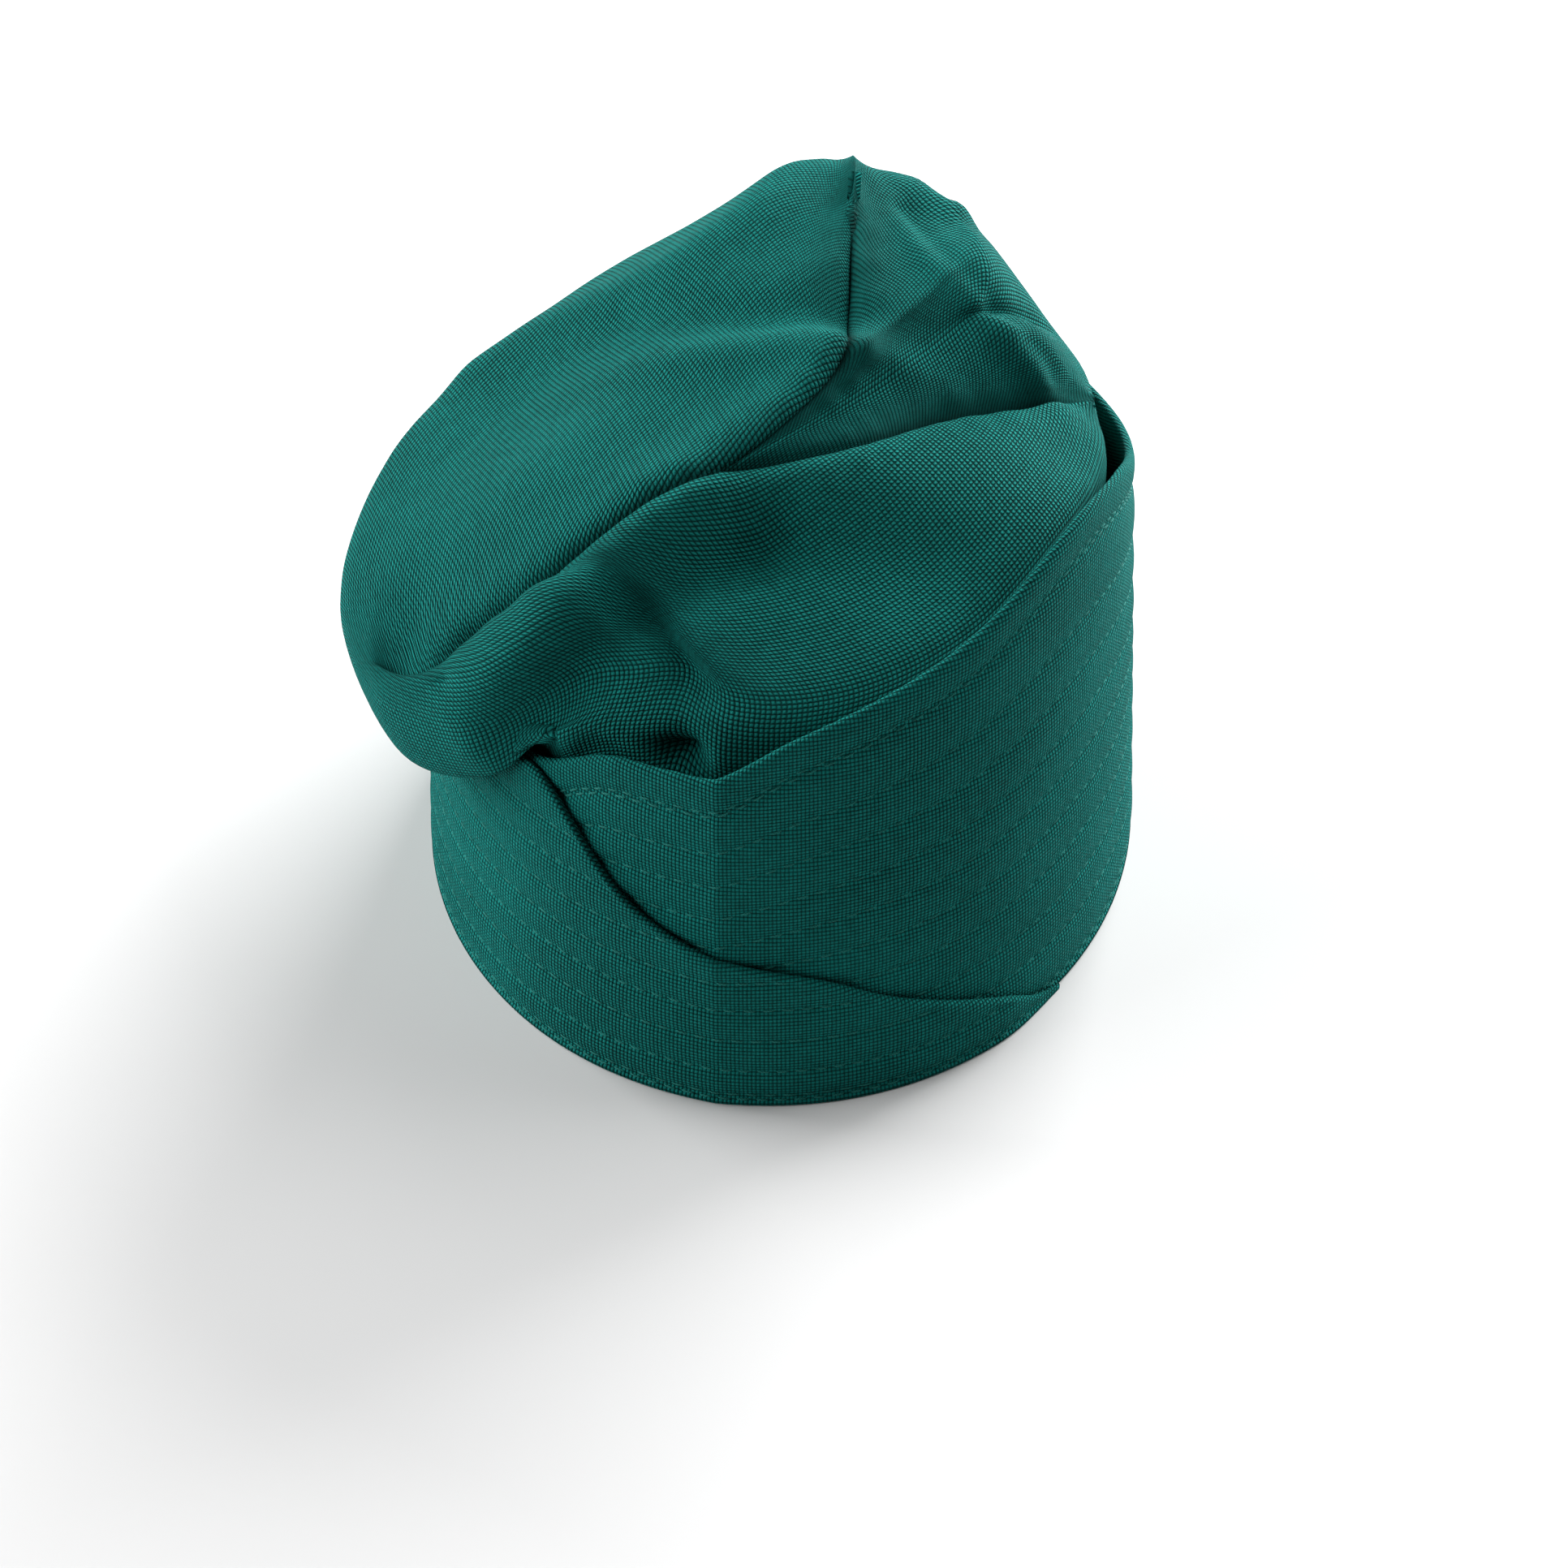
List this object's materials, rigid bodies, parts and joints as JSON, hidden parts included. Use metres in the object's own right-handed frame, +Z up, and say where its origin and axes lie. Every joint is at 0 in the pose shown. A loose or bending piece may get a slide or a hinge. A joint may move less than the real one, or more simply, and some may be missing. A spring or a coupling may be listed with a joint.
{
  "type": "turban hat",
  "caption": "Soft cloth turban hat: a slouched crown leaning over one side of a turned-up band, whose two stitched wraps cross over the forehead.",
  "frame": {"origin": "middle of the bottom of the hat's bounding box, on the surface that the rim rests on", "axes": "+Z up through the crown, +Y from the forehead to the back of the head, +X to the viewer's right as the front faces the viewer"},
  "size_m": [0.185, 0.2024, 0.1544],
  "materials": {
    "crown_cloth": "matt basket weave",
    "wrap_cloth": "matt basket weave with rows of stitching"
  },
  "bodies": {
    "root": {"crown": "crown_cloth", "right_wrap": "wrap_cloth", "left_wrap": "wrap_cloth"}
  },
  "joints": []
}
